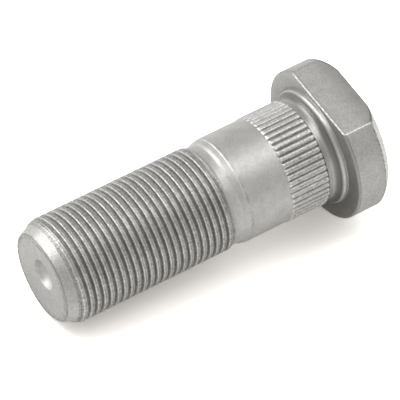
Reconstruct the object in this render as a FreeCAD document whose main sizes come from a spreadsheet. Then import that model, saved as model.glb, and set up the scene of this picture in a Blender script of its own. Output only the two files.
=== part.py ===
# A wheel stud, lying on the edge of its head and on its threaded end.
# The stud's own axis is +Z of the body, from the threaded end to the head. The body is then
# turned so that the axis runs along +X and rises towards the head, with the head's flat on top.
# Row frame: +Z up, the floor at z = 0, the origin under the middle of the part. Millimetres.
import FreeCAD
import Part
import Sketcher
import os

os.makedirs("parts", exist_ok=True)
doc = FreeCAD.newDocument("stud")

# Driving sizes, each stated once, then what follows from them.
sizes = doc.addObject("Spreadsheet::Sheet", "sizes")
given = [
    ("thread_diameter", 22.0),
    ("end_face_diameter", 18.4),
    ("end_chamfer_length", 4.0),
    ("thread_end_from_tip", 36.6),
    ("runout_length", 1.6),
    ("neck_diameter", 21.0),
    ("neck_length", 1.1),
    ("ramp_length", 1.8),
    ("shank_diameter", 22.26),
    ("knurl_diameter", 22.6),
    ("knurl_from_tip", 50.6),
    ("knurl_length", 8.6),
    ("knurl_lead", 0.35),
    ("knurl_depth", 0.38),
    ("knurl_groove_width", 0.8),
    ("knurl_teeth", 52),
    ("undercut_diameter", 21.5),
    ("undercut_slope_length", 0.35),
    ("cove_radius", 2.0),
    ("collar_diameter", 24.6),
    ("collar_rim_radius", 1.0),
    ("collar_wall", 0.4),
    ("under_head_length", 63.0),
    ("head_diameter", 32.0),
    ("head_height", 8.2),
    ("head_flat_distance", 13.0),
    ("bearing_edge_radius", 0.35),
    ("crown_radial", 2.0),
    ("crown_height", 1.9),
    ("crown_radius", 6.0),
    ("dimple_diameter", 6.3),
    ("dimple_depth", 1.7),
    ("dimple_towards_flat", 2.1),
    ("dimple_aside", 0.8),
]
derived = [
    ("thread_radius", "=thread_diameter / 2"),
    ("end_face_radius", "=end_face_diameter / 2"),
    ("neck_radius", "=neck_diameter / 2"),
    ("shank_radius", "=shank_diameter / 2"),
    ("knurl_radius", "=knurl_diameter / 2"),
    ("undercut_radius", "=undercut_diameter / 2"),
    ("collar_radius", "=collar_diameter / 2"),
    ("head_radius", "=head_diameter / 2"),
    ("neck_from_tip", "=thread_end_from_tip + runout_length"),
    ("ramp_from_tip", "=neck_from_tip + neck_length"),
    ("shank_from_tip", "=ramp_from_tip + ramp_length"),
    ("knurl_crest_from_tip", "=knurl_from_tip + knurl_lead"),
    ("knurl_end_from_tip", "=knurl_from_tip + knurl_length"),
    ("undercut_from_tip", "=knurl_end_from_tip + undercut_slope_length"),
    ("wall_from_tip", "=under_head_length - collar_wall"),
    ("rim_from_tip", "=wall_from_tip - collar_rim_radius"),
    ("rim_radius_inside", "=collar_radius - collar_rim_radius"),
    ("cove_rise", "=rim_radius_inside - undercut_radius"),
    ("cove_run", "=sqrt(2 * cove_radius * cove_rise - cove_rise * cove_rise)"),
    ("cove_from_tip", "=rim_from_tip - cove_run"),
    ("total_length", "=under_head_length + head_height"),
    ("top_face_radius", "=head_radius - crown_radial"),
    ("bearing_face_radius", "=head_radius - bearing_edge_radius"),
    ("barrel_from_tip", "=under_head_length + bearing_edge_radius"),
    ("barrel_to_tip", "=total_length - crown_height"),
    ("head_clear", "=head_radius * 1.2"),
    ("valley_root", "=knurl_radius - knurl_depth"),
    ("valley_mouth", "=knurl_radius + knurl_depth"),
    ("valley_half_root", "=knurl_groove_width * 0.15"),
    ("valley_half_mouth", "=knurl_groove_width * 0.85"),
    ("valley_length", "=knurl_length + undercut_slope_length * 2"),
    ("dimple_radius", "=dimple_diameter / 2"),
    ("dimple_sphere", "=(dimple_radius * dimple_radius + dimple_depth * dimple_depth) / (2 * dimple_depth)"),
    ("rest_rise", "=head_radius - thread_radius"),
    ("rest_run", "=barrel_from_tip - end_chamfer_length"),
    ("rest_reach", "=sqrt(rest_rise * rest_rise + rest_run * rest_run)"),
    ("rest_sine", "=rest_rise / rest_reach"),
    ("rest_cosine", "=rest_run / rest_reach"),
    ("lying_turn", "=90 - atan(rest_rise / rest_run) * 1 / 1deg"),
    ("lift", "=head_radius * rest_cosine - barrel_from_tip * rest_sine"),
    ("front_reach", "=total_length * rest_cosine + top_face_radius * rest_sine"),
    ("back_reach", "=end_face_radius * rest_sine"),
    ("shift_along", "=(back_reach - front_reach) / 2"),
]
row = 0
for name, value in given + derived:
    row = row + 1
    sizes.set("A%d" % row, name)
    sizes.set("B%d" % row, str(value))
    sizes.setAlias("B%d" % row, name)
doc.recompute()


def size(name):
    return float(sizes.get(name))


body = doc.addObject("PartDesign::Body", "wheel_stud")
body.Label = "wheel_stud"


def plane(role):
    for feature in body.Origin.OriginFeatures:
        if feature.Role == role:
            return feature


def new_sketch(name, role, height=None):
    sketch = body.newObject("Sketcher::SketchObject", name)
    sketch.AttachmentSupport = [(plane(role), "")]
    sketch.MapMode = "FlatFace"
    if height:
        sketch.setExpression("AttachmentOffset.Base.z", "sizes.%s" % height)
    return sketch


def locate(sketch, piece, end, across, along):
    # Ties one end point to the origin, with each distance following its size.
    for kind, words in (("DistanceX", across), ("DistanceY", along)):
        if words == "0":
            other = -2 if kind == "DistanceX" else -1
            sketch.addConstraint(Sketcher.Constraint("PointOnObject", piece, end, other))
            continue
        start = sketch.getPoint(piece, end)
        now = start.x if kind == "DistanceX" else start.y
        index = sketch.addConstraint(Sketcher.Constraint(kind, -1, 1, piece, end, now))
        sketch.setExpression("Constraints[%d]" % index, words)


def arc_middle(start, stop, radius, side):
    # The middle of the short arc between two points; side tells on which side its centre lies.
    chord = stop - start
    across = FreeCAD.Vector(-chord.y, chord.x, 0).normalize() * side
    depth = max(radius * radius - chord.Length * chord.Length / 4, 0.0) ** 0.5
    centre = (start + stop) * 0.5 + across * depth
    return centre - across * radius


def outline(sketch, corners):
    # corners: across words, along words, across now, along now, then for the stretch that ends
    # there its radius words (None where it is straight), its radius now and its centre's side.
    count = len(corners)
    pieces = []
    ends = []
    for number in range(count):
        first = corners[number]
        second = corners[(number + 1) % count]
        start = FreeCAD.Vector(first[2], first[3], 0)
        stop = FreeCAD.Vector(second[2], second[3], 0)
        if second[4] is None:
            stretch = Part.LineSegment(start, stop)
        else:
            stretch = Part.Arc(start, arc_middle(start, stop, second[5], second[6]), stop)
        piece = sketch.addGeometry(stretch, False)
        swapped = (sketch.getPoint(piece, 1) - start).Length > 1e-6
        pieces.append(piece)
        ends.append((2, 1) if swapped else (1, 2))
    for number in range(count):
        after = (number + 1) % count
        sketch.addConstraint(
            Sketcher.Constraint("Coincident", pieces[number], ends[number][1], pieces[after], ends[after][0])
        )
    for number in range(count):
        locate(sketch, pieces[number], ends[number][0], corners[number][0], corners[number][1])
    for number in range(count):
        target = corners[(number + 1) % count]
        if target[4] is not None:
            index = sketch.addConstraint(Sketcher.Constraint("Radius", pieces[number], target[5]))
            sketch.setExpression("Constraints[%d]" % index, target[4])


def corner(across, along, radius=None, side=1):
    here = 0.0 if across == "0" else size(across)
    there = 0.0 if along == "0" else size(along)
    across_words = "0" if across == "0" else "sizes." + across
    along_words = "0" if along == "0" else "sizes." + along
    if radius is None:
        return (across_words, along_words, here, there, None, None, None)
    return (across_words, along_words, here, there, "sizes." + radius, size(radius), side)


# The turned shape: end chamfer, thread at its crests, run-out, neck, shank, knurl band, collar, head.
profile = new_sketch("turned_profile", "XZ_Plane")
outline(profile, [
    corner("0", "0"),
    corner("end_face_radius", "0"),
    corner("thread_radius", "end_chamfer_length"),
    corner("thread_radius", "thread_end_from_tip"),
    corner("neck_radius", "neck_from_tip"),
    corner("neck_radius", "ramp_from_tip"),
    corner("shank_radius", "shank_from_tip"),
    corner("shank_radius", "knurl_from_tip"),
    corner("knurl_radius", "knurl_crest_from_tip"),
    corner("knurl_radius", "knurl_end_from_tip"),
    corner("undercut_radius", "undercut_from_tip"),
    corner("undercut_radius", "cove_from_tip"),
    corner("rim_radius_inside", "rim_from_tip", "cove_radius", -1),
    corner("collar_radius", "wall_from_tip", "collar_rim_radius", 1),
    corner("collar_radius", "under_head_length"),
    corner("bearing_face_radius", "under_head_length"),
    corner("head_radius", "barrel_from_tip", "bearing_edge_radius", 1),
    corner("head_radius", "barrel_to_tip"),
    corner("top_face_radius", "total_length", "crown_radius", 1),
    corner("0", "total_length"),
])
doc.recompute()
turned = body.newObject("PartDesign::Revolution", "turned")
turned.Profile = profile
turned.ReferenceAxis = (profile, ["V_Axis"])
turned.Angle = 360.0
doc.recompute()

# The one flat on the head, cut down to the bearing face and facing the body's -X.
flat_outline = new_sketch("flat_outline", "XY_Plane", "under_head_length")
flat_start = -size("head_flat_distance")
flat_far = -size("head_clear")
flat_side = size("head_clear")
sides = [
    FreeCAD.Vector(flat_start, -flat_side, 0),
    FreeCAD.Vector(flat_start, flat_side, 0),
    FreeCAD.Vector(flat_far, flat_side, 0),
    FreeCAD.Vector(flat_far, -flat_side, 0),
]
for number in range(4):
    flat_outline.addGeometry(Part.LineSegment(sides[number], sides[(number + 1) % 4]), False)
for number in range(4):
    flat_outline.addConstraint(Sketcher.Constraint("Coincident", number, 2, (number + 1) % 4, 1))
locate(flat_outline, 0, 1, "-sizes.head_flat_distance", "-sizes.head_clear")
locate(flat_outline, 1, 1, "-sizes.head_flat_distance", "sizes.head_clear")
locate(flat_outline, 2, 1, "-sizes.head_clear", "sizes.head_clear")
locate(flat_outline, 3, 1, "-sizes.head_clear", "-sizes.head_clear")
doc.recompute()
flat = body.newObject("PartDesign::Pocket", "head_flat")
flat.Profile = flat_outline
flat.Type = "Length"
flat.Length = size("head_height")
flat.setExpression("Length", "sizes.head_height")
flat.Reversed = True
doc.recompute()

# The shallow round dimple in the threaded end, a little off the stud's axis.
dimple_outline = new_sketch("dimple_outline", "XZ_Plane", "dimple_aside")
dimple_outline.setExpression("AttachmentOffset.Base.x", "-sizes.dimple_towards_flat")
outline(dimple_outline, [
    corner("0", "0"),
    corner("dimple_radius", "0"),
    corner("0", "dimple_depth", "dimple_sphere", 1),
])
doc.recompute()
dimple = body.newObject("PartDesign::Groove", "end_dimple")
dimple.Profile = dimple_outline
dimple.ReferenceAxis = (dimple_outline, ["V_Axis"])
dimple.Angle = 360.0
doc.recompute()

# One valley of the straight knurl, then the ring of them. It runs out into the undercut.
valley_outline = new_sketch("valley_outline", "XY_Plane", "knurl_from_tip")
root = size("valley_root")
mouth = size("valley_mouth")
half_root = size("valley_half_root")
half_mouth = size("valley_half_mouth")
sides = [
    FreeCAD.Vector(root, -half_root, 0),
    FreeCAD.Vector(root, half_root, 0),
    FreeCAD.Vector(mouth, half_mouth, 0),
    FreeCAD.Vector(mouth, -half_mouth, 0),
]
for number in range(4):
    valley_outline.addGeometry(Part.LineSegment(sides[number], sides[(number + 1) % 4]), False)
for number in range(4):
    valley_outline.addConstraint(Sketcher.Constraint("Coincident", number, 2, (number + 1) % 4, 1))
locate(valley_outline, 0, 1, "sizes.valley_root", "-sizes.valley_half_root")
locate(valley_outline, 1, 1, "sizes.valley_root", "sizes.valley_half_root")
locate(valley_outline, 2, 1, "sizes.valley_mouth", "sizes.valley_half_mouth")
locate(valley_outline, 3, 1, "sizes.valley_mouth", "-sizes.valley_half_mouth")
doc.recompute()
valley = body.newObject("PartDesign::Pocket", "knurl_valley")
valley.Profile = valley_outline
valley.Type = "Length"
valley.Length = size("valley_length")
valley.setExpression("Length", "sizes.valley_length")
valley.Reversed = True
doc.recompute()
knurl = body.newObject("PartDesign::PolarPattern", "knurl")
knurl.Originals = [valley]
knurl.Axis = (valley_outline, ["N_Axis"])
knurl.Angle = 360.0
knurl.Occurrences = int(size("knurl_teeth"))
knurl.setExpression("Occurrences", "sizes.knurl_teeth")
body.Tip = knurl
doc.recompute()

# Laying the stud down: a turn about Y, then up and along until it rests on z = 0 under its middle.
body.setExpression(
    "Placement",
    "create(<<placement>>; create(<<vector>>; sizes.shift_along; 0; sizes.lift); "
    "create(<<rotation>>; create(<<vector>>; 0; 1; 0); sizes.lying_turn))",
)
doc.recompute()

for item in doc.Objects:
    if "Invalid" in item.State or "Error" in item.State:
        raise SystemExit("%s did not build" % item.Label)
shape = body.Shape
if not shape.isValid() or len(shape.Solids) != 1:
    raise SystemExit("wheel_stud is not one valid solid")
shape.exportStep("parts/wheel_stud.step")
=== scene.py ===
import math
import bpy
from mathutils import Matrix, Vector, noise


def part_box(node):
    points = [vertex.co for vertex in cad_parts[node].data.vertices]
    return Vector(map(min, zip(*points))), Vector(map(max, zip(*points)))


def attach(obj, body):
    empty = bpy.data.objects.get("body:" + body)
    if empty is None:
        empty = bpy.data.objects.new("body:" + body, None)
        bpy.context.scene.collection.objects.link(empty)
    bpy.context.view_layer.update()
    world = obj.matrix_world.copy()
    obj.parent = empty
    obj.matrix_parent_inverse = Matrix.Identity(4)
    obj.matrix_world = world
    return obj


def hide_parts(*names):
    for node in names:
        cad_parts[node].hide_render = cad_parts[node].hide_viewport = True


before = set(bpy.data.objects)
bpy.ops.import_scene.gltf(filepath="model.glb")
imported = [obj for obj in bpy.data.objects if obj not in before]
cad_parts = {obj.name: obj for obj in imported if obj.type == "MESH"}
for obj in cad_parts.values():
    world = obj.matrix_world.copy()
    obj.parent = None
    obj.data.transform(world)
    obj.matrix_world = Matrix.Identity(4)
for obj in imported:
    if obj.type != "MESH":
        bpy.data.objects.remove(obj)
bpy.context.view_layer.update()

mm = 0.001
fullTurn = 2 * math.pi
noiseRadius = 11.0      # noise is read on a plain cylinder close to the stud's skin

# How the stud lies: on the first full thread crest and on the edge of its head.
lying = {
    "crestRadius": 11.0,
    "firstCrest": 4.0,
    "headRadius": 16.0,
    "headEdge": 63.35,
    "endRadius": 9.2,
}
rise = lying["headRadius"] - lying["crestRadius"]
run = lying["headEdge"] - lying["firstCrest"]
lean = math.atan2(rise, run)
along = Vector((math.cos(lean), 0, math.sin(lean)))       # from the threaded end to the head
towardsFlat = Vector((-math.sin(lean), 0, math.cos(lean)))
aside = Vector((0, -1, 0))
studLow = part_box("wheel_stud")[0]
tip = Vector((
    studLow[0] + lying["endRadius"] * math.sin(lean) * mm,
    0,
    (lying["crestRadius"] * math.cos(lean) - lying["firstCrest"] * math.sin(lean)) * mm,
))


# A ring is a list of points (angle, across the flat side, aside, along, rub, dust), in millimetres.
# Rub is 1 where handling has polished the plating and also carries painted highlights; dust is 1 where the
# finish stays dull and dark and also carries painted shade.
def softStep(low, high, value):
    part = min(max((value - low) / (high - low), 0.0), 1.0)
    return part * part * (3 - 2 * part)


def softLess(first, second, width):
    # the smaller of the two, with a round of that width where they meet
    gap = max(width - abs(first - second), 0.0) / width
    return min(first, second) - gap * gap * width * 0.25


def skinSpot(angle, height):
    return Vector((math.cos(angle) * noiseRadius, math.sin(angle) * noiseRadius, height))


def ringOf(count, height, radiusAt, rubAndHighlight=0.0, dustAndShade=0.0):
    ring = []
    for number in range(count):
        angle = fullTurn * number / count
        radius = radiusAt(angle)
        ring.append((angle, radius * math.cos(angle), radius * math.sin(angle), height, rubAndHighlight, dustAndShade))
    return ring


# Threaded end: face with its dimple, cone, thread with its first ridges and its run-out.
threadValues = {
    "columns": 160,
    "rowsPerPitch": 16,
    "pitch": 1.5,
    "depth": 0.62,
    "crestShare": 0.46,     # of the pitch
    "rootShare": 0.13,
    "seamShare": 0.07,      # the fold that rolling leaves along each crest
    "seamDepth": 0.05,
    "rolledUp": 0.15,       # how far the first ridges stand above the cone
    "firstGroove": 2.3,
    "startTurn": 0.1,
    "headSideEdge": 0.3,    # that edge of a crest is rubbed less
    "bodyRound": 0.22,      # where the cone meets the crests
    "skinWear": 0.015,
    "pitDepth": 0.06,
    "faceRadius": lying["endRadius"],
    "faceRound": 0.35,
    "faceWave": 0.035,
    "coneLength": lying["firstCrest"],
    "crestRadius": lying["crestRadius"],
    "crestEnd": 36.9,
    "neckRadius": 10.5,
    "neckStart": 38.2,
    "fadeFrom": 36.4,
    "smoothFrom": 37.7,
    "dimpleRadius": 3.15,
    "dimpleDepth": 1.7,
    "dimpleTowardsFlat": 2.1,
    "dimpleAside": 0.8,
    "paintedHighlightSide": 2.6,    # radians from the flat's side, where the dimple's painted highlight lies
    "upperPaintedLight": 0.38,     # how much lighter the roots are on the upper side, as painted light
    "shadedSide": 0.32,
    "shadedSideTurn": 1.15,
    "shadedSideSpread": 0.4,
    "raggedHeight": 0.22,   # the broken line round the end face
    "raggedSpread": 0.14,
    "bowlShares": [0.14, 0.28, 0.42, 0.55, 0.67, 0.78, 0.87, 0.94, 1.0],
    "faceShares": [0.04, 0.10, 0.25, 0.4, 0.55, 0.7, 0.85, 0.94, 1.0],
    "firstRows": [0.03, 0.12, 0.24],
    "evenRowsFrom": 0.36,
}


def faceRings():
    v = threadValues
    rings = []
    sphere = (v["dimpleRadius"] ** 2 + v["dimpleDepth"] ** 2) / (2 * v["dimpleDepth"])
    for share in v["bowlShares"]:
        radius = v["dimpleRadius"] * share
        height = v["dimpleDepth"] - (sphere - math.sqrt(sphere ** 2 - radius ** 2))
        height = max(height, 0.0) + 0.03 * softStep(0.9, 1.0, share)
        ring = []
        for number in range(v["columns"]):
            angle = fullTurn * number / v["columns"]
            # one wall of the dimple gets a painted highlight, and the rest of the bowl painted shade
            dimpleHighlight = 0.7 * softStep(0.1, 0.9, share * math.cos(angle - v["paintedHighlightSide"]))
            ring.append((angle, v["dimpleTowardsFlat"] + radius * math.cos(angle),
                         v["dimpleAside"] + radius * math.sin(angle), height,
                         dimpleHighlight, 0.3 * (1 - dimpleHighlight)))
        rings.append(ring)
    flatEdge = v["faceRadius"] - v["faceRound"]
    for share in v["faceShares"]:
        radius = v["dimpleRadius"] + (flatEdge - v["dimpleRadius"]) * share
        ring = []
        for number in range(v["columns"]):
            angle = fullTurn * number / v["columns"]
            place = Vector((math.cos(angle) * radius, math.sin(angle) * radius, 6.0))
            height = v["faceWave"] * noise.noise(place * 0.5)
            outer = softStep(0.86, 1.0, share)
            spotted = softStep(-0.25, 0.2, noise.noise(place * 1.9))
            ring.append((angle, v["dimpleTowardsFlat"] * (1 - share) + radius * math.cos(angle),
                         v["dimpleAside"] * (1 - share) + radius * math.sin(angle),
                         max(height, 0.0) + 0.01, 0.15, 0.25 + 0.75 * outer * spotted))
        rings.append(ring)
    return rings


def threadShape(angle, height):
    # groove is 0 on a crest and 1 in a root, seam is 1 in the fold, edge is 1 along a crest's edges
    v = threadValues
    phase = (height / v["pitch"] - angle / fullTurn - v["startTurn"]) % 1.0
    fromRoot = abs(phase - 0.5)
    flank = (1 - v["crestShare"] - v["rootShare"]) / 2
    groove = 1 - softStep(v["rootShare"] / 2 - 0.05, v["rootShare"] / 2 + flank + 0.03, fromRoot)
    fromCrest = 0.5 - fromRoot
    place = skinSpot(angle, height)
    wander = 0.05 * noise.noise(place * 0.45)
    seam = 1 - softStep(0.0, v["seamShare"], abs(fromCrest * (1 if phase < 0.5 else -1) - 0.04 - wander))
    edge = math.exp(-((fromCrest - v["crestShare"] / 2 + 0.035) / 0.045) ** 2)
    if phase < 0.5:
        edge *= v["headSideEdge"]
    return groove, seam, edge


def threadRings():
    v = threadValues
    rings = []
    step = v["pitch"] / v["rowsPerPitch"]
    slope = (v["crestRadius"] - v["faceRadius"]) / v["coneLength"]
    heights = list(v["firstRows"])
    height = v["evenRowsFrom"]
    while height < v["neckStart"] - step / 2:
        heights.append(height)
        height += step
    for height in heights:
        cone = v["faceRadius"] + slope * height
        if height < v["faceRound"]:
            missing = v["faceRound"] - height
            cone -= v["faceRound"] - math.sqrt(max(v["faceRound"] ** 2 - missing ** 2, 0.0))
        body = v["crestRadius"]
        body -= (v["crestRadius"] - v["neckRadius"]) * softStep(v["crestEnd"] - 0.2, v["neckStart"], height)
        deep = v["depth"] * (1 - softStep(v["fadeFrom"], v["neckStart"], height))
        ring = []
        for number in range(v["columns"]):
            angle = fullTurn * number / v["columns"]
            groove, seam, edge = threadShape(angle, height)
            place = skinSpot(angle, height)
            rough = noise.noise(place * 1.1)
            pits = noise.noise(place * 3.1)
            begun = softStep(v["firstGroove"], v["coneLength"] + 0.6, height + 0.15 * rough)
            made = deep / v["depth"] * softStep(v["firstGroove"], v["firstGroove"] + 0.8, height)
            uneven = height + 0.2 * rough
            rolled = v["rolledUp"] * softStep(v["firstGroove"] - 0.3, v["firstGroove"] + 0.4, uneven)
            radius = softLess(cone + rolled, body, v["bodyRound"])
            radius -= deep * groove * (0.45 * made + 0.55 * begun)
            radius -= made * seam * v["seamDepth"] * softStep(-0.3, 0.3, rough)
            radius -= made * (1 - groove) * (v["skinWear"] + v["pitDepth"] * softStep(0.05, 0.45, pits))
            radius = min(radius, v["crestRadius"])
            ragged = math.exp(-((height - v["raggedHeight"] - 0.1 * rough) / v["raggedSpread"]) ** 2)
            # the roots are darkened by dull plating and painted shade, and made lighter on the upper side
            # as painted light
            upperLit = v["upperPaintedLight"] * softStep(0.45, 1.0, math.cos(angle + 0.1))
            # one side of the cone is darkened as painted shade
            sideShade = math.exp(-((angle - v["shadedSideTurn"]) / v["shadedSideSpread"]) ** 2)
            rubAndHighlight = made * edge * (1 - groove)
            dustAndShade = max(made * groove * (1 - upperLit),
                       0.45 * made * seam * softStep(-0.2, 0.3, rough),
                       0.9 * ragged,
                       v["shadedSide"] * (1 - made) * sideShade)
            ring.append((angle, radius * math.cos(angle), radius * math.sin(angle), height, rubAndHighlight, dustAndShade))
        rings.append(ring)
    return rings


# Neck, ramp and plain shank.
shankValues = {
    "columns": 160,
    "neckRadius": threadValues["neckRadius"],
    "shankRadius": 11.13,
    "neckStart": threadValues["neckStart"],
    "neckStep": 0.2,
    "rampStart": 39.3,      # rises steeply from the neck, then gently
    "steepEnd": 40.1,
    "steepRadius": 10.86,
    "gentleEnd": 40.85,
    "gentleRadius": 11.02,
    "rampEnd": 41.15,
    "edgeSpread": 0.12,     # the line where the ramp ends, rubbed before it and dusty past it, with a painted highlight on the upper side and painted shade on the other
    "edgeDustAndShade": 0.5,
    "edgeDustSpread": 0.10,
    "bandHighlight": 0.15,        # a painted highlight on the band where the ramp starts
    "bandSpread": 0.28,
    "plainStations": [41.35, 41.8, 42.6, 44.0, 46.0, 48.0, 49.6, 50.3],
}


def rampRadius(height):
    v = shankValues
    steep = softStep(v["rampStart"], v["steepEnd"], height)
    gentle = min(max((height - v["steepEnd"]) / (v["gentleEnd"] - v["steepEnd"]), 0.0), 1.0)
    last = softStep(v["gentleEnd"], v["rampEnd"], height)
    radius = v["neckRadius"] + (v["steepRadius"] - v["neckRadius"]) * steep
    radius += (v["gentleRadius"] - v["steepRadius"]) * gentle
    return radius + (v["shankRadius"] - v["gentleRadius"]) * last


def shankRings():
    v = shankValues
    rings = []
    stations = [v["neckStart"] + v["neckStep"] * number for number in range(3)]
    stations += [v["rampStart"] + (v["gentleEnd"] - v["rampStart"]) * number / 9 for number in range(10)]
    stations += [v["gentleEnd"] + (v["rampEnd"] - v["gentleEnd"]) * number / 5 for number in range(1, 6)]
    for height in stations + v["plainStations"]:
        radius = rampRadius(height)
        rubAndHighlight = math.exp(-((height - v["rampEnd"] + v["edgeSpread"]) / v["edgeSpread"]) ** 2)
        band = v["bandHighlight"] * math.exp(-((height - v["rampStart"] - 0.2) / v["bandSpread"]) ** 2)
        pastEdge = height - v["rampEnd"] - v["edgeSpread"]
        dustAndShade = v["edgeDustAndShade"] * math.exp(-(pastEdge / v["edgeDustSpread"]) ** 2)
        plain = ringOf(v["columns"], height, lambda angle: radius, rubAndHighlight, dustAndShade)
        ring = []
        for angle, across, beside, height, rubAndHighlight, dustAndShade in plain:
            # a painted highlight on the upper side, and a broken dull line with painted shade on the other
            upper = softStep(0.3, 0.95, math.cos(angle + 0.1))
            place = Vector((across, beside, height))
            gaps = softStep(-0.15, 0.2, noise.noise(place * 1.7))
            worn = softStep(-0.3, 0.25, noise.noise(place * 1.1 + Vector((0, 0, 9))))
            ring.append((angle, across, beside, height,
                         rubAndHighlight * (0.12 + 0.7 * upper) * (0.45 + 0.55 * worn) + band,
                         min(dustAndShade * gaps * (2.4 - upper), 1.0)))
        rings.append(ring)
    return rings


# Knurled band: straight teeth with round tops, tapering to nothing at the shank.
knurlValues = {
    "teeth": 52,
    "pointsPerTooth": 12,
    "grooveShare": 0.44,    # of the tooth spacing
    "crestBulge": 0.13,
    "start": 50.6,
    "end": 59.2,
    "crestRadius": 11.32,
    "rootRadius": 10.90,
    "shankRadius": shankValues["shankRadius"],
    "undercutRadius": 10.75,
    "undercut": 59.55,
    "lead": 0.5,
    "crestPits": 0.012,
    "stations": [50.52, 50.65, 50.78, 50.9, 51.02, 51.14, 51.26, 51.4, 51.6, 52.1,
                 53.0, 54.5, 56.0, 57.5, 58.5, 59.0, 59.15, 59.28, 59.42, 59.55],
}


def knurlRings():
    v = knurlValues
    rings = []
    count = v["teeth"] * v["pointsPerTooth"]
    for height in v["stations"]:
        ring = []
        for number in range(count):
            angle = fullTurn * number / count
            # as in the solid, one valley lies in the middle of the flat's side
            phase = ((number + v["pointsPerTooth"] // 2) % v["pointsPerTooth"]) / v["pointsPerTooth"]
            place = skinSpot(angle, height)
            uneven = noise.noise(place * 0.9)
            fromGroove = abs(phase - 0.5) * 2
            groove = 1 - softStep(0.06, v["grooveShare"] * (1 + 0.25 * uneven), fromGroove)
            crest = v["crestRadius"] - v["crestBulge"] * (1 - fromGroove) ** 2
            crest -= v["crestPits"] * (1 + noise.noise(place * 2.7))
            start = v["start"] + 0.12 * noise.noise(place * 0.7)
            raised = softStep(start - 0.1, start + 0.22, height)
            sunk = softStep(start - 0.1, start + v["lead"], height)
            radius = v["shankRadius"] + (crest - v["shankRadius"]) * raised
            radius -= (crest - v["rootRadius"]) * groove * sunk
            left = softStep(v["end"] - 0.05, v["undercut"] - 0.05, height + 0.06 * uneven)
            radius += (v["undercutRadius"] - radius) * left
            tipRub = math.exp(-((height - start - 0.28) / 0.20) ** 2)
            tipRub += math.exp(-((height - v["end"] + 0.08) / 0.22) ** 2)
            shoulder = math.exp(-((fromGroove - v["grooveShare"]) / 0.12) ** 2)
            # the teeth on the upper side get a painted highlight
            topSideHighlight = softStep(0.75, 1.0, math.cos(angle + 0.45))
            ring.append((angle, radius * math.cos(angle), radius * math.sin(angle), height,
                         min((1 - groove) ** 2 * (tipRub + 0.45 * shoulder * sunk + 0.5 * topSideHighlight), 1.0),
                         groove * sunk * (1 + 0.3 * uneven)))
        rings.append(ring)
    return rings


# Undercut, cove, collar and the round head with its one flat.
headValues = {
    "undercutRadius": knurlValues["undercutRadius"],
    "undercutEnd": 59.65,
    "coveRadius": 1.5,
    "rimRound": 1.0,
    "wall": 62.6,
    "collarRadius": 12.3,
    "bearing": 63.0,
    "radius": lying["headRadius"],
    "edge": 0.35,
    "flatDistance": 13.0,
    "barrelEnd": 69.3,
    "top": 71.2,
    "crownRadius": 6.0,
    "topRadius": 14.0,
    "barrelStations": [63.65, 64.5, 66.0, 67.5, 68.7, 69.1, 69.3],
    "cornerRound": 0.08,    # where the flat meets the barrel
    "flatSide": 0.3,        # the flat lies where the cosine of the angle is larger
    "fineFrom": 17.5,       # degrees from the flat's middle, with the points close together
    "fineTo": 37.0,
    "fineStep": 0.5,
    "plainStep": 2.0,
    "flatRub": 0.22,
    "flatDust": 0.3,
    "flatDullFrom": 66.0,
    "crownHighlight": 0.85,
    "farEdgeReflectionWidth": 0.26,
}


def headAngles():
    # close together where the flat meets the barrel, and where it meets the crown
    v = headValues
    angles = []
    degree = 0.0
    while degree < 359.9:
        angles.append(math.radians(degree))
        away = min(degree, 360 - degree)
        degree += v["fineStep"] if v["fineFrom"] < away < v["fineTo"] else v["plainStep"]
    return angles


def headRing(height, radius, flat, rubAndHighlight=0.0, dustAndShade=0.0, flatRub=None, flatDust=None):
    # the flat's share of a ring is rubbed and dusty in its own way, one corner gets a painted highlight and
    # the other a painted shade line
    v = headValues
    ring = []
    for angle in headAngles():
        across = radius
        ringRubAndHighlight = rubAndHighlight
        ringDustAndShade = dustAndShade
        if flat is not None and math.cos(angle) > v["flatSide"]:
            onFlat = flat / math.cos(angle)
            across = softLess(radius, onFlat, v["cornerRound"])
            share = softStep(-0.05, 0.05, radius - onFlat)
            place = Vector((flat, flat * math.tan(angle), height))
            unbroken = softStep(-0.35, 0.1, noise.noise(place * 1.4))
            if flatRub is not None:
                ringRubAndHighlight += (flatRub * (0.4 + 0.6 * unbroken) - rubAndHighlight) * share
            if flatDust is not None:
                ringDustAndShade += (flatDust - dustAndShade) * share
            corner = math.exp(-((radius - onFlat) / 0.09) ** 2)
            corner *= 0.35 + 0.65 * unbroken
            # painted highlight on the near corner, painted shade on the far one
            if angle < math.pi:
                ringRubAndHighlight = max(ringRubAndHighlight, corner)
            else:
                ringDustAndShade = max(ringDustAndShade, corner)
        ring.append((angle, across * math.cos(angle), across * math.sin(angle), height, ringRubAndHighlight, ringDustAndShade))
    return ring


def farEdgeDarkReflection(ring, radius):
    # the flat's far edge gets a thin dark line where the crown cuts it, a painted reflection of its rounded
    # edge
    v = headValues
    lined = []
    for angle, across, beside, height, rubAndHighlight, dustAndShade in ring:
        if math.cos(angle) > v["flatSide"]:
            line = math.exp(-((radius - v["flatDistance"] / math.cos(angle)) / v["farEdgeReflectionWidth"]) ** 2)
            dustAndShade = max(dustAndShade, line)
            rubAndHighlight *= 1 - line
        lined.append((angle, across, beside, height, rubAndHighlight, dustAndShade))
    return lined


def barrelEndLine(ring):
    # a broken dull line runs where the barrel ends, but not over the flat
    v = headValues
    lined = []
    for angle, across, beside, height, rubAndHighlight, dustAndShade in ring:
        if v["radius"] * math.cos(angle) < v["flatDistance"] - 0.1:
            place = Vector((across, beside, height))
            dustAndShade = max(dustAndShade, 0.9 * softStep(-0.25, 0.15, noise.noise(place * 1.9)))
        lined.append((angle, across, beside, height, rubAndHighlight, dustAndShade))
    return lined


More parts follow.
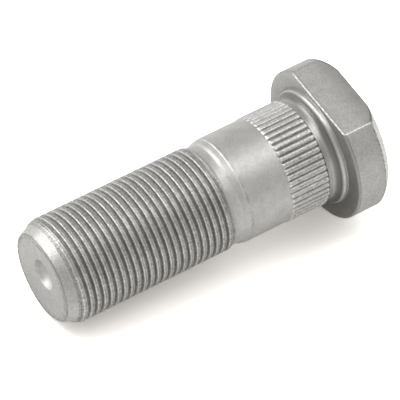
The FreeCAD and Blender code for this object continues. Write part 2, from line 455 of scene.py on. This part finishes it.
def collarRings():
    v = headValues
    rings = []
    # a hollow arc and a round rim that meet in one slope
    rise = v["collarRadius"] - v["undercutRadius"]
    bend = math.acos(1 - rise / (v["coveRadius"] + v["rimRound"]))
    coveStart = v["wall"] - (v["coveRadius"] + v["rimRound"]) * math.sin(bend)
    for share in (0.0, 0.5, 1.0):
        height = v["undercutEnd"] + (coveStart - v["undercutEnd"]) * share
        rings.append(headRing(height, v["undercutRadius"], None, 0.0, 0.3))
    # towards the steep slope where the hollow meets the rim, the rings are darkened as painted shade
    for number in range(1, 8):
        turn = bend * number / 7
        dull = softStep(0, 4, number)
        radius = v["undercutRadius"] + v["coveRadius"] * (1 - math.cos(turn))
        rings.append(headRing(coveStart + v["coveRadius"] * math.sin(turn), radius, None, 0.0, dull))
    for number in range(1, 9):
        turn = bend * (1 - number / 8)
        dull = softStep(5, 1, number)
        radius = v["collarRadius"] - v["rimRound"] * (1 - math.cos(turn))
        rings.append(headRing(v["wall"] - v["rimRound"] * math.sin(turn), radius, None, 0.0, dull))
    # the collar's foot is darkened as painted shadow
    rings.append(headRing(v["bearing"] - 0.1, v["collarRadius"], None, 0.0, 0.5))
    return rings


def headRings():
    v = headValues
    # a painted shadow ring where the bearing face meets the collar
    rings = [headRing(v["bearing"], v["collarRadius"] + 0.1, None, 0.0, 0.7)]
    bearingReach = v["radius"] - v["edge"]
    flatReach = v["flatDistance"] - v["edge"] * 0.3
    outer = headRing(v["bearing"], bearingReach, flatReach)
    inner = rings[-1]
    for share in (0.2, 0.45, 0.7, 0.9, 1.0):
        ring = []
        for near, far in zip(inner, outer):
            # the lower half is darkened as painted shade, and the face is darker towards the collar as
            # painted shadow
            leeShade = 0.35 * softStep(0.3, 1.4, near[0]) * softStep(5.5, 3.5, near[0])
            across = near[1] + (far[1] - near[1]) * share
            beside = near[2] + (far[2] - near[2]) * share
            ring.append((near[0], across, beside, v["bearing"], 0.0, leeShade + 0.25 * (1 - share)))
        rings.append(ring)
    for number in range(1, 5):
        turn = math.pi / 2 * number / 4
        reach = bearingReach + v["edge"] * math.sin(turn)
        flat = flatReach + v["edge"] * 0.3 * math.sin(turn)
        rings.append(headRing(v["bearing"] + v["edge"] * (1 - math.cos(turn)), reach, flat,
                              0.15, 0.35, 1.0 if number < 4 else 0.5, 0.0))
    barrelStart = v["bearing"] + v["edge"] + 0.08
    rings.append(headRing(barrelStart, v["radius"], v["flatDistance"], 0.0, 0.55, 0.0, 0.3))
    for height in v["barrelStations"]:
        # the flat is duller towards its far edge
        far = softStep(v["flatDullFrom"], v["top"], height)
        ring = headRing(height, v["radius"], v["flatDistance"], 0.08, 0.1 * far,
                        v["flatRub"] * (1 - far), v["flatDust"] * far)
        if height > v["barrelEnd"] - 0.1:
            ring = barrelEndLine(ring)
        rings.append(ring)
    # crown: an arc from the barrel to the top face
    startPoint = Vector((v["radius"], v["barrelEnd"]))
    endPoint = Vector((v["topRadius"], v["top"]))
    chord = endPoint - startPoint
    inward = Vector((-chord.y, chord.x)).normalized()
    away = math.sqrt(v["crownRadius"] ** 2 - chord.length_squared / 4)
    centre = (startPoint + endPoint) / 2 + inward * away
    first = math.atan2(startPoint.y - centre.y, startPoint.x - centre.x)
    last = math.atan2(endPoint.y - centre.y, endPoint.x - centre.x)
    for number in range(1, 9):
        turn = first + (last - first) * number / 8
        height = centre.y + v["crownRadius"] * math.sin(turn)
        radius = centre.x + v["crownRadius"] * math.cos(turn)
        far = softStep(v["flatDullFrom"], v["top"], height)
        # the crown is brightened as a painted highlight
        ring = headRing(height, radius, v["flatDistance"], v["crownHighlight"], 0.0,
                        v["flatRub"] * (1 - far), v["flatDust"] * far)
        rings.append(farEdgeDarkReflection(ring, radius))
    edge = rings[-1]
    for share in (0.015, 0.04, 0.2, 0.4, 0.6, 0.8, 0.92):
        height = v["top"] + 0.03 * softStep(0.0, 0.04, share)
        rings.append([(p[0], p[1] * (1 - share), p[2] * (1 - share), height, 0.1, 0.1) for p in edge])
    return rings


# The rings are skinned into one closed surface.
def skinRings(name, groups):
    points = []
    faces = []
    slots = []
    rubAndHighlightList = []
    dustAndShadeList = []

    def addPoint(point):
        place = tip + (towardsFlat * point[1] + aside * point[2] + along * point[3]) * mm
        points.append(place)
        rubAndHighlightList.append(point[4])
        dustAndShadeList.append(point[5])
        return len(points) - 1

    rings = []
    for slot, group in enumerate(groups):
        for ring in group:
            rings.append((slot, ring, [addPoint(point) for point in ring]))

    def addFace(corners, slot):
        faces.append(corners)
        slots.append(slot)

    def middleOf(ring):
        count = len(ring)
        return tuple(sum(point[n] for point in ring) / count for n in range(6))

    start = middleOf(rings[0][1])
    startHeight = threadValues["dimpleDepth"]
    startPoint = addPoint((0, start[1], start[2], startHeight, start[4], start[5]))
    near = rings[0][2]
    for number in range(len(near)):
        addFace((startPoint, near[(number + 1) % len(near)], near[number]), rings[0][0])
    for (slot, firstRing, first), (nextSlot, secondRing, second) in zip(rings, rings[1:]):
        if len(first) == len(second):
            for number in range(len(first)):
                after = (number + 1) % len(first)
                addFace((first[number], first[after], second[after], second[number]), nextSlot)
            continue
        one = two = 0
        while one < len(first) or two < len(second):
            oneNext = firstRing[one + 1][0] if one + 1 < len(first) else fullTurn
            twoNext = secondRing[two + 1][0] if two + 1 < len(second) else fullTurn
            if two >= len(second) or (one < len(first) and oneNext <= twoNext):
                addFace((first[one], first[(one + 1) % len(first)], second[two % len(second)]), nextSlot)
                one += 1
            else:
                addFace((first[one % len(first)], second[(two + 1) % len(second)], second[two]), nextSlot)
                two += 1
    end = middleOf(rings[-1][1])
    endPoint = addPoint((0, end[1], end[2], end[3], end[4], end[5]))
    far = rings[-1][2]
    for number in range(len(far)):
        addFace((far[number], far[(number + 1) % len(far)], endPoint), rings[-1][0])

    mesh = bpy.data.meshes.new(name)
    mesh.from_pydata(points, [], faces)
    mesh.polygons.foreach_set("material_index", slots)
    mesh.polygons.foreach_set("use_smooth", [True] * len(faces))
    for label, values in (("rubAndHighlight", rubAndHighlightList), ("dustAndShade", dustAndShadeList)):
        mesh.attributes.new(label, "FLOAT", "POINT").data.foreach_set("value", values)
    mesh.update()
    piece = bpy.data.objects.new(name, mesh)
    bpy.context.scene.collection.objects.link(piece)
    print("%s: %d points, %d faces" % (name, len(points), len(faces)))
    return piece


threadStart = threadRings()
coneRings = [ring for ring in threadStart if ring[0][3] < threadValues["firstGroove"]]
endRings = [ring for ring in threadStart if ring[0][3] > threadValues["smoothFrom"]]
stud = skinRings("plated_stud", [
    faceRings() + coneRings,
    threadStart[len(coneRings):-len(endRings)],
    endRings + shankRings(),
    knurlRings(),
    collarRings(),
    headRings(),
])
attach(stud, "root")
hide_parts("wheel_stud")


# Zinc flake finish: fine mottled grain, dull roots and rubbed crests; the rub and dust masks also lay on
# painted highlights and painted shade.
def socket(group, name, way, kind, start=None):
    made = group.interface.new_socket(name=name, in_out=way, socket_type=kind)
    if start is not None:
        made.default_value = start
    return made


def flakeGrainGroup():
    group = bpy.data.node_groups.new("flakeGrain", "ShaderNodeTree")
    socket(group, "Grain per mm", "INPUT", "NodeSocketFloat", 3.0)
    socket(group, "Cloud per mm", "INPUT", "NodeSocketFloat", 0.5)
    socket(group, "Specks per mm", "INPUT", "NodeSocketFloat", 1.8)
    socket(group, "Tone", "OUTPUT", "NodeSocketFloat")
    socket(group, "Cloud", "OUTPUT", "NodeSocketFloat")
    socket(group, "Specks", "OUTPUT", "NodeSocketFloat")
    socket(group, "Height", "OUTPUT", "NodeSocketFloat")
    nodes = group.nodes
    links = group.links
    given = nodes.new("NodeGroupInput")
    out = nodes.new("NodeGroupOutput")
    place = nodes.new("ShaderNodeTexCoord")
    inMm = nodes.new("ShaderNodeVectorMath")
    inMm.operation = "SCALE"
    inMm.inputs["Scale"].default_value = 1000.0
    links.new(place.outputs["Object"], inMm.inputs[0])
    fine = nodes.new("ShaderNodeTexNoise")
    fine.inputs["Detail"].default_value = 4.0
    fine.inputs["Roughness"].default_value = 0.65
    links.new(inMm.outputs[0], fine.inputs["Vector"])
    links.new(given.outputs["Grain per mm"], fine.inputs["Scale"])
    cloud = nodes.new("ShaderNodeTexNoise")
    cloud.inputs["Detail"].default_value = 3.0
    links.new(inMm.outputs[0], cloud.inputs["Vector"])
    links.new(given.outputs["Cloud per mm"], cloud.inputs["Scale"])
    specks = nodes.new("ShaderNodeTexNoise")
    specks.inputs["Detail"].default_value = 2.0
    links.new(inMm.outputs[0], specks.inputs["Vector"])
    links.new(given.outputs["Specks per mm"], specks.inputs["Scale"])
    fewer = nodes.new("ShaderNodeMapRange")
    fewer.inputs["From Min"].default_value = 0.53
    fewer.inputs["From Max"].default_value = 0.64
    links.new(specks.outputs["Fac"], fewer.inputs["Value"])
    links.new(fewer.outputs["Result"], out.inputs["Specks"])
    links.new(fine.outputs["Fac"], out.inputs["Tone"])
    links.new(cloud.outputs["Fac"], out.inputs["Cloud"])
    links.new(fine.outputs["Fac"], out.inputs["Height"])
    return group


def wearAndPaintedLightMaskGroup():
    group = bpy.data.node_groups.new("wearAndPaintedLightMasks", "ShaderNodeTree")
    socket(group, "Tone", "INPUT", "NodeSocketFloat", 0.5)
    socket(group, "Broken", "INPUT", "NodeSocketFloat", 0.5)
    socket(group, "RubAndHighlight", "OUTPUT", "NodeSocketFloat")
    socket(group, "DustAndShade", "OUTPUT", "NodeSocketFloat")
    nodes = group.nodes
    links = group.links
    given = nodes.new("NodeGroupInput")
    out = nodes.new("NodeGroupOutput")
    rubAndHighlight = nodes.new("ShaderNodeAttribute")
    rubAndHighlight.attribute_name = "rubAndHighlight"
    dustAndShade = nodes.new("ShaderNodeAttribute")
    dustAndShade.attribute_name = "dustAndShade"
    patchy = nodes.new("ShaderNodeMapRange")
    patchy.inputs["From Min"].default_value = 0.44
    patchy.inputs["From Max"].default_value = 0.56
    links.new(given.outputs["Tone"], patchy.inputs["Value"])
    whole = nodes.new("ShaderNodeMath")
    whole.operation = "SUBTRACT"
    whole.inputs[0].default_value = 1.0
    links.new(given.outputs["Broken"], whole.inputs[1])
    links.new(whole.outputs[0], patchy.inputs["To Min"])
    worn = nodes.new("ShaderNodeMath")
    worn.operation = "MULTIPLY"
    links.new(rubAndHighlight.outputs["Fac"], worn.inputs[0])
    links.new(patchy.outputs["Result"], worn.inputs[1])
    links.new(worn.outputs[0], out.inputs["RubAndHighlight"])
    links.new(dustAndShade.outputs["Fac"], out.inputs["DustAndShade"])
    return group


flakeGrain = flakeGrainGroup()
wearAndPaintedLightMasks = wearAndPaintedLightMaskGroup()

# Specks are dark pits in the plating, and cloud is how far its tone drifts over a few millimetres.
metalShare = 0.92
finishes = {
    "endFinish": {
        "dark": (0.47, 0.465, 0.45), "light": (0.66, 0.65, 0.635),
        "rubbedAndHighlit": (0.88, 0.87, 0.855), "dustyAndShaded": (0.13, 0.128, 0.12),
        "dull": 0.52, "shiny": 0.36, "grain": 3.0, "bump": 0.008,
        "dustAndShadeShare": 0.75, "speckShare": 0.12, "cloudShare": 0.3, "broken": 0.2,
    },
    "threadFinish": {
        "dark": (0.27, 0.265, 0.255), "light": (0.56, 0.55, 0.535),
        "rubbedAndHighlit": (0.95, 0.94, 0.92), "dustyAndShaded": (0.19, 0.187, 0.18),
        "dull": 0.56, "shiny": 0.34, "grain": 2.6, "bump": 0.026,
        "dustAndShadeShare": 0.55, "speckShare": 0.50, "cloudShare": 0.2, "broken": 0.5,
    },
    "shankFinish": {
        "dark": (0.50, 0.495, 0.48), "light": (0.62, 0.61, 0.595),
        "rubbedAndHighlit": (0.92, 0.91, 0.895), "dustyAndShaded": (0.12, 0.118, 0.112),
        "dull": 0.53, "shiny": 0.43, "grain": 2.4, "bump": 0.004,
        "dustAndShadeShare": 0.6, "speckShare": 0.04, "cloudShare": 0.5, "broken": 0.5,
    },
    "knurlFinish": {
        "dark": (0.46, 0.455, 0.44), "light": (0.66, 0.65, 0.635),
        "rubbedAndHighlit": (0.92, 0.91, 0.895), "dustyAndShaded": (0.14, 0.138, 0.132),
        "dull": 0.52, "shiny": 0.32, "grain": 2.6, "bump": 0.014,
        "dustAndShadeShare": 0.75, "speckShare": 0.42, "cloudShare": 0.35, "broken": 0.7,
    },
    "collarFinish": {
        "dark": (0.52, 0.515, 0.50), "light": (0.64, 0.63, 0.615),
        "rubbedAndHighlit": (0.92, 0.91, 0.895), "dustyAndShaded": (0.10, 0.098, 0.092),
        "dull": 0.40, "shiny": 0.30, "grain": 2.6, "bump": 0.004,
        "dustAndShadeShare": 0.78, "speckShare": 0.04, "cloudShare": 0.3, "broken": 0.3,
    },
    "headFinish": {
        "dark": (0.42, 0.413, 0.40), "light": (0.56, 0.55, 0.534),
        "rubbedAndHighlit": (0.96, 0.95, 0.935), "dustyAndShaded": (0.09, 0.088, 0.082),
        "dull": 0.52, "shiny": 0.40, "grain": 3.2, "bump": 0.006,
        "dustAndShadeShare": 0.9, "speckShare": 0.10, "cloudShare": 0.4, "broken": 0.7,
    },
}


def mixOf(nodes, links, share, first, second):
    mix = nodes.new("ShaderNodeMix")
    mix.data_type = "RGBA"
    links.new(share, mix.inputs["Factor"])
    for number, value in ((6, first), (7, second)):
        if isinstance(value, tuple):
            mix.inputs[number].default_value = value + (1.0,)
        else:
            links.new(value, mix.inputs[number])
    return mix.outputs[2]


def platedFinish(name):
    v = finishes[name]
    material = bpy.data.materials.new(name)
    material.use_nodes = True
    nodes = material.node_tree.nodes
    links = material.node_tree.links
    shader = nodes["Principled BSDF"]
    shader.inputs["Metallic"].default_value = metalShare
    grain = nodes.new("ShaderNodeGroup")
    grain.node_tree = flakeGrain
    grain.inputs["Grain per mm"].default_value = v["grain"]
    masks = nodes.new("ShaderNodeGroup")
    masks.node_tree = wearAndPaintedLightMasks
    links.new(grain.outputs["Tone"], masks.inputs["Tone"])
    masks.inputs["Broken"].default_value = v["broken"]
    spread = nodes.new("ShaderNodeMapRange")
    spread.inputs["From Min"].default_value = 0.36
    spread.inputs["From Max"].default_value = 0.64
    links.new(grain.outputs["Tone"], spread.inputs["Value"])
    drift = nodes.new("ShaderNodeMapRange")
    drift.inputs["From Min"].default_value = 0.35
    drift.inputs["From Max"].default_value = 0.65
    links.new(grain.outputs["Cloud"], drift.inputs["Value"])
    tone = nodes.new("ShaderNodeMix")
    tone.inputs["Factor"].default_value = v["cloudShare"]
    links.new(spread.outputs["Result"], tone.inputs[2])
    links.new(drift.outputs["Result"], tone.inputs[3])
    plain = mixOf(nodes, links, tone.outputs[0], v["dark"], v["light"])
    pitted = nodes.new("ShaderNodeMath")
    pitted.operation = "MULTIPLY"
    pitted.inputs[1].default_value = v["speckShare"]
    links.new(grain.outputs["Specks"], pitted.inputs[0])
    plain = mixOf(nodes, links, pitted.outputs[0], plain, v["dustyAndShaded"])
    # the rubbed colour lays on rubbed plating and painted highlights, the dusty colour dull finish and
    # painted shade
    rubbedAndHighlit = mixOf(nodes, links, masks.outputs["RubAndHighlight"], plain, v["rubbedAndHighlit"])
    dulled = nodes.new("ShaderNodeMath")
    dulled.operation = "MULTIPLY"
    dulled.inputs[1].default_value = v["dustAndShadeShare"]
    links.new(masks.outputs["DustAndShade"], dulled.inputs[0])
    finished = mixOf(nodes, links, dulled.outputs[0], rubbedAndHighlit, v["dustyAndShaded"])
    links.new(finished, shader.inputs["Base Color"])
    gloss = nodes.new("ShaderNodeMapRange")
    gloss.inputs["From Min"].default_value = 0.35
    gloss.inputs["From Max"].default_value = 0.65
    gloss.inputs["To Min"].default_value = v["dull"]
    gloss.inputs["To Max"].default_value = v["shiny"]
    links.new(grain.outputs["Tone"], gloss.inputs["Value"])
    links.new(gloss.outputs["Result"], shader.inputs["Roughness"])
    bump = nodes.new("ShaderNodeBump")
    bump.inputs["Strength"].default_value = 1.0
    bump.inputs["Distance"].default_value = v["bump"] * mm
    links.new(grain.outputs["Height"], bump.inputs["Height"])
    links.new(bump.outputs["Normal"], shader.inputs["Normal"])
    return material


for name in finishes:
    stud.data.materials.append(platedFinish(name))
print("finishes made")


# Floor, soft lights and camera.
studio = {
    "floorColour": (0.94, 0.922, 0.906, 1.0),     # laid on twice, so the sheet stays white up to the shadow
    "mirroredColour": (0.92, 0.92, 0.91, 1.0),
    "worldAbove": (0.54, 0.532, 0.521),
    "worldAround": (0.95, 0.936, 0.917),
    "aroundUpTo": 0.45,
    "floorReach": 3.0,
    "aim": (0.0, 0.0, 0.012),
}
lights = {
    "keyBox": {"place": (-0.30, 0.31, 0.46), "width": 0.28, "height": 0.72, "roll": -51, "glow": 2.7},
    "leftBox": {"place": (-0.52, 0.44, 0.16), "width": 0.40, "height": 0.26, "roll": 0, "glow": 1.8},
    "topBox": {"place": (0.20, -0.04, 0.61), "width": 0.36, "height": 0.90, "roll": 0, "glow": 1.35},
}
view = {
    "place": (-0.322625, -0.393697, 0.606732),
    "heading": 50.6316,     # degrees from +X, seen from above
    "dip": 49.3335,
    "roll": 8.7401,
    "lens": 360.0,
    "sensor": 36.0,
    "clipStart": 0.01,
    "clipEnd": 20,
}


def areaLight(name, v):
    data = bpy.data.lights.new(name, "AREA")
    data.shape = "RECTANGLE"
    data.size = v["width"]
    data.size_y = v["height"]
    data.energy = v["glow"] * math.pi * v["width"] * v["height"]
    light = bpy.data.objects.new(name, data)
    light.location = v["place"]
    towards = Vector(studio["aim"]) - Vector(v["place"])
    turned = Matrix.Rotation(math.radians(v["roll"]), 3, "Z")
    light.rotation_euler = (towards.to_track_quat("-Z", "Y").to_matrix() @ turned).to_euler()
    bpy.context.scene.collection.objects.link(light)


for name in lights:
    areaLight(name, lights[name])

floorMesh = bpy.data.meshes.new("studio_floor")
far = studio["floorReach"]
floorMesh.from_pydata([(-far, -far, 0), (far, -far, 0), (far, far, 0), (-far, far, 0)], [], [(0, 1, 2, 3)])
floor = bpy.data.objects.new("studio_floor", floorMesh)
bpy.context.scene.collection.objects.link(floor)
floorPaint = bpy.data.materials.new("floorPaint")
floorPaint.use_nodes = True
sheet = floorPaint.node_tree
sheet.nodes.remove(sheet.nodes["Principled BSDF"])
coat = sheet.nodes.new("ShaderNodeBsdfDiffuse")
coat.inputs["Color"].default_value = studio["floorColour"]
both = sheet.nodes.new("ShaderNodeAddShader")
sheet.links.new(coat.outputs["BSDF"], both.inputs[0])
sheet.links.new(coat.outputs["BSDF"], both.inputs[1])
# only the camera sees both layers, and the metal mirrors a plain single one
mirrored = sheet.nodes.new("ShaderNodeBsdfDiffuse")
mirrored.inputs["Color"].default_value = studio["mirroredColour"]
rays = sheet.nodes.new("ShaderNodeLightPath")
which = sheet.nodes.new("ShaderNodeMixShader")
sheet.links.new(rays.outputs["Is Camera Ray"], which.inputs["Fac"])
sheet.links.new(mirrored.outputs["BSDF"], which.inputs[1])
sheet.links.new(both.outputs["Shader"], which.inputs[2])
sheet.links.new(which.outputs["Shader"], sheet.nodes["Material Output"].inputs["Surface"])
floorMesh.materials.append(floorPaint)

world = bpy.data.worlds.new("studioLight")
world.use_nodes = True
air = world.node_tree
way = air.nodes.new("ShaderNodeTexCoord")
parts = air.nodes.new("ShaderNodeSeparateXYZ")
air.links.new(way.outputs["Generated"], parts.inputs[0])
upwards = air.nodes.new("ShaderNodeMapRange")
upwards.interpolation_type = "SMOOTHSTEP"
upwards.inputs["From Max"].default_value = studio["aroundUpTo"]
air.links.new(parts.outputs["Z"], upwards.inputs["Value"])
sky = mixOf(air.nodes, air.links, upwards.outputs["Result"], studio["worldAround"], studio["worldAbove"])
air.links.new(sky, air.nodes["Background"].inputs["Color"])
bpy.context.scene.world = world
bpy.context.scene.view_settings.view_transform = "Standard"

cameraData = bpy.data.cameras.new("photoCamera")
cameraData.lens = view["lens"]
cameraData.sensor_width = view["sensor"]
cameraData.clip_start = view["clipStart"]
cameraData.clip_end = view["clipEnd"]
camera = bpy.data.objects.new("photoCamera", cameraData)
turn = (Matrix.Rotation(math.radians(view["heading"] - 90), 4, "Z")
        @ Matrix.Rotation(math.radians(90 - view["dip"]), 4, "X")
        @ Matrix.Rotation(math.radians(view["roll"]), 4, "Z"))
camera.matrix_world = Matrix.Translation(view["place"]) @ turn
bpy.context.scene.collection.objects.link(camera)
bpy.context.scene.camera = camera
print("floor, lights and camera placed")

bpy.context.view_layer.update()
